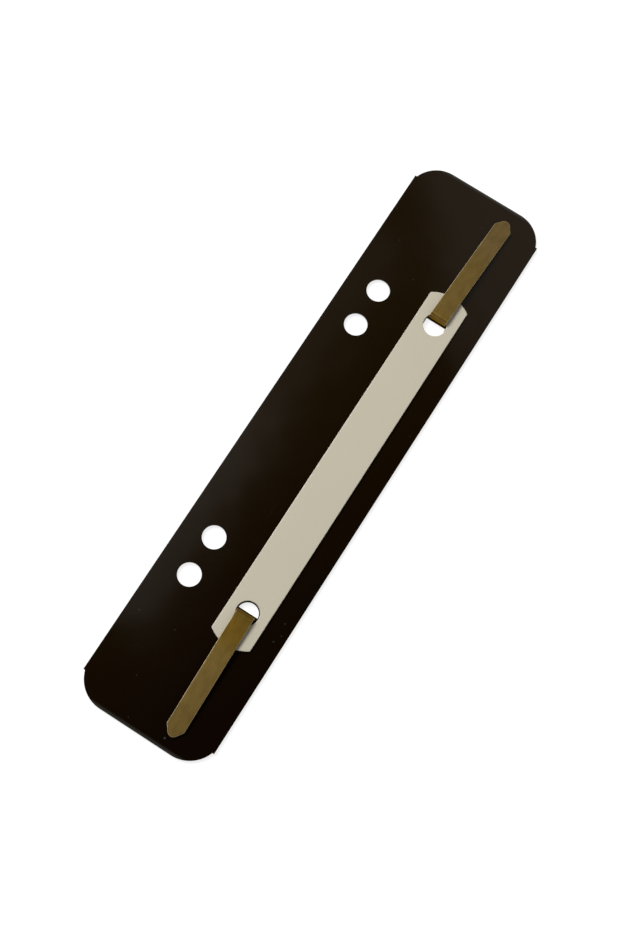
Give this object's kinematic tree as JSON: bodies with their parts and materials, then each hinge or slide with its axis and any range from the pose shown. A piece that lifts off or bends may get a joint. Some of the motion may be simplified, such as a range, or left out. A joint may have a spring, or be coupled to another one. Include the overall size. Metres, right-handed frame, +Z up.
{
  "type": "filing strip",
  "caption": "Flat punched plastic filing strip with a folding sheet-metal prong fastener and a loose cover bar, which clamps punched sheets so that they hang in a ring binder.",
  "frame": {"origin": "under the middle of the strip's outline, on the surface that the fastener's rail lies on", "axes": "+X along the strip, +Y across it towards the filing holes, +Z up out of the face with the cover bar"},
  "size_m": [0.15, 0.034, 0.0032],
  "materials": {
    "strip_plastic": "black polypropylene sheet with a fine satin grain",
    "rail_metal": "brass-toned sheet metal, brushed along its length",
    "prong_metal": "brass-toned sheet metal, brushed along its length",
    "bar_plastic": "warm pale grey plastic, satin"
  },
  "bodies": {
    "strip": {"base_strip": "strip_plastic", "fastener_rail": "rail_metal"},
    "upper_prong": {"prong_upper": "prong_metal"},
    "lower_prong": {"prong_lower": "prong_metal"},
    "bar": {"cover_bar": "bar_plastic"}
  },
  "joints": [
    {"name": "upper_prong_fold", "type": "hinge", "parent": "strip", "child": "upper_prong", "pos_m": [0.0407, -0.0065, 0.00303], "axis": [-0.0384, -0.9993, 0], "range_deg": [0, 179]},
    {"name": "lower_prong_fold", "type": "hinge", "parent": "strip", "child": "lower_prong", "pos_m": [-0.0407, -0.0065, 0.00303], "axis": [-0.0227, 0.9997, 0], "range_deg": [0, 179]},
    {"name": "bar_lift", "type": "slide", "parent": "strip", "child": "bar", "axis": [0, 0, 1], "range_m": [0, 0.0005]}
  ]
}
